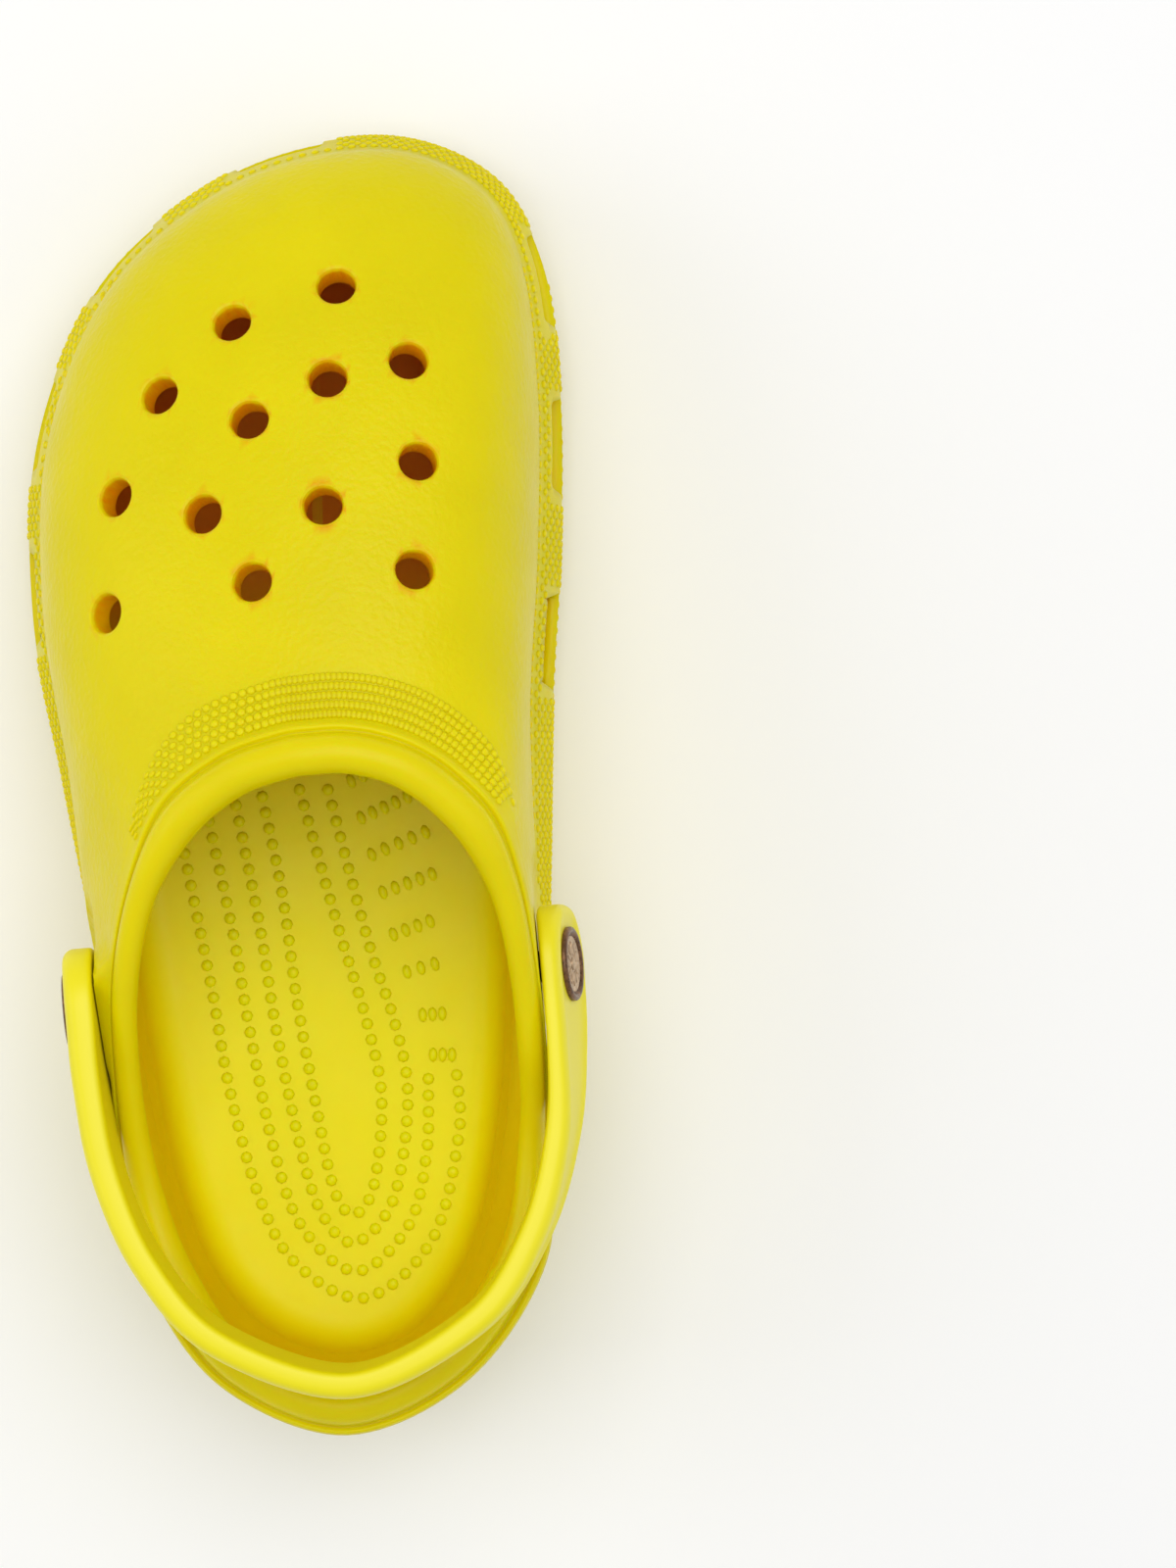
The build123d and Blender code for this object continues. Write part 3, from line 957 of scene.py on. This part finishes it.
class CLOG_OT_rivets(Operator):
    """Turn the rivet heads, their posts, discs and inner buttons"""
    bl_idname = "clog.rivets"
    bl_label = "Rivets"

    def execute(self, context):
        for side, name in ((1, "medial"), (-1, "lateral")):
            self.cap(side, name)
            self.badge(side, name)
            self.stud(side, name)
        return {"FINISHED"}

    @staticmethod
    def cap(side, name):
        """Rivet head with a raised ring, and the post behind it."""
        bm = bmesh.new()
        head = [(0, -1.6), (7.9, -1.6), (8.2, -1.3), (8.2, 0.1), (8.05, 0.4), (7.75, 0.58), (7.4, 0.62),
                (7.0, 0.5), (6.75, 0.25), (6.6, -0.15), (6.3, -0.3), (0, -0.3)]
        lathe(bm, head, face_frame(side, EAR_OUTER, True))
        post = [(0, -12.7), (3.1, -12.7), (3.45, -12.3), (3.45, -1.2), (0, -1.2)]
        lathe(bm, post, face_frame(side, EAR_OUTER, False), 32)
        cap = make_object("rivet_head_" + name, bm, named_material("rivet_bronze"), "strap")
        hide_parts("rivet_cap_" + name)

    @staticmethod
    def badge(side, name):
        """Plain rosette: a domed disc with twelve rounded petals and a centre boss."""
        bm = bmesh.new()
        frame_here = face_frame(side, EAR_OUTER, True)
        disc = [(0, -0.28), (6.2, -0.28), (6.2, 0.0), (6.0, 0.12), (5.6, 0.12), (5.4, -0.02), (0, 0.02)]
        lathe(bm, disc, frame_here)
        lathe(bm, [(0, -0.1), (1.5, -0.1), (1.35, 0.3), (0.9, 0.45), (0, 0.5)], frame_here, 24)
        out = frame_here.to_3x3() @ Vector((0, 0, 1))
        for k in range(12):
            a = 2 * pi * k / 12
            spoke = frame_here.to_3x3() @ Vector((cos(a), sin(a), 0))
            at = frame_here @ Vector((3.4 * cos(a), 3.4 * sin(a), 0.0))
            dome(bm, at, out, spoke, (3.2, 1.15, 0.34), 10, 6)
        badge = make_object("rosette_" + name, bm, named_material("badge_metal"), "strap")
        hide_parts("rivet_badge_" + name)

    @staticmethod
    def stud(side, name):
        """Button on the inner wall, facing the foot."""
        bm = bmesh.new()
        out = STUD_SEAT - 0.3
        button = [
            (0, 0), (6.0, 0), (6.4, -0.4), (6.4, -1.2), (6.1, -1.75), (5.4, -2.1), (4.2, -2.2), (0, -2.2)]
        lathe(bm, button, face_frame(side, out, False))
        stud = make_object("rivet_button_" + name, bm, named_material("rivet_bronze"), "strap")
        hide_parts("rivet_stud_" + name)


class CLOG_OT_stage(Operator):
    """Lay the pale floor, hang the softboxes and set the overhead camera"""
    bl_idname = "clog.stage"
    bl_label = "Stage"

    def execute(self, context):
        scene = context.scene
        stage = scene.clog_stage
        bm = bmesh.new()
        bmesh.ops.create_grid(bm, x_segments=1, y_segments=1, size=3000)
        floor = make_object("studio_floor", bm, named_material("studio_floor"), None)
        self.softbox("key_light", (0.1, 0.25, 1.35), (0.0, 0.0, 0.0), 1.1, stage.key_power)
        self.softbox("left_light", (-1.1, 0.1, 0.8), (0.0, 0.0, 0.03), 0.9, stage.left_power)
        self.softbox("right_light", (1.1, -0.2, 0.8), (0.0, 0.0, 0.03), 0.9, stage.right_power)
        world = bpy.data.worlds.new("studio_air")
        world.use_nodes = True
        world.node_tree.nodes["Background"].inputs["Color"].default_value = (1, 1, 1, 1)
        world.node_tree.nodes["Background"].inputs["Strength"].default_value = 0.5
        scene.world = world
        scene.view_settings.view_transform = "Standard"
        camera = bpy.data.cameras.new("overhead_camera")
        camera.sensor_fit = "VERTICAL"
        camera.sensor_height = 36
        camera.lens = stage.lens
        seat = bpy.data.objects.new("overhead_camera", camera)
        seat.location = (0.0645, -0.0031, stage.height)
        scene.collection.objects.link(seat)
        scene.camera = seat
        return {"FINISHED"}

    @staticmethod
    def softbox(name, place, target, size, power):
        """Square area light aimed at a place."""
        light = bpy.data.lights.new(name, "AREA")
        light.shape = "SQUARE"
        light.size = size
        light.energy = power
        lamp = bpy.data.objects.new(name, light)
        lamp.location = place
        lamp.rotation_euler = (Vector(target) - Vector(place)).to_track_quat("-Z", "Y").to_euler()
        bpy.context.scene.collection.objects.link(lamp)


STEPS = (
    CLOG_OT_materials, CLOG_OT_moulding, CLOG_OT_collar_beads, CLOG_OT_band_dots, CLOG_OT_footbed_nubs,
    CLOG_OT_tread, CLOG_OT_strap, CLOG_OT_rivets, CLOG_OT_stage)


class CLOG_PT_panel(Panel):
    """Lists the steps in building order"""
    bl_label = "Garden clog"
    bl_idname = "CLOG_PT_panel"
    bl_space_type = "VIEW_3D"
    bl_region_type = "UI"
    bl_category = "Garden clog"

    def draw(self, context):
        for step in STEPS:
            self.layout.operator(step.bl_idname)
        for group in (context.scene.clog_shape, context.scene.clog_finish, context.scene.clog_stage):
            for name in group.__annotations__:
                self.layout.prop(group, name)


CLASSES = (ClogShape, ClogFinish, ClogStage, *STEPS, CLOG_PT_panel)


def register():
    for item in CLASSES:
        bpy.utils.register_class(item)
    bpy.types.Scene.clog_shape = PointerProperty(type=ClogShape)
    bpy.types.Scene.clog_finish = PointerProperty(type=ClogFinish)
    bpy.types.Scene.clog_stage = PointerProperty(type=ClogStage)


def unregister():
    del bpy.types.Scene.clog_stage
    del bpy.types.Scene.clog_finish
    del bpy.types.Scene.clog_shape
    for item in reversed(CLASSES):
        bpy.utils.unregister_class(item)


def main():
    register()
    for step in STEPS:
        group, name = step.bl_idname.split(".")
        getattr(getattr(bpy.ops, group), name)()


if __name__ == "__main__":
    main()
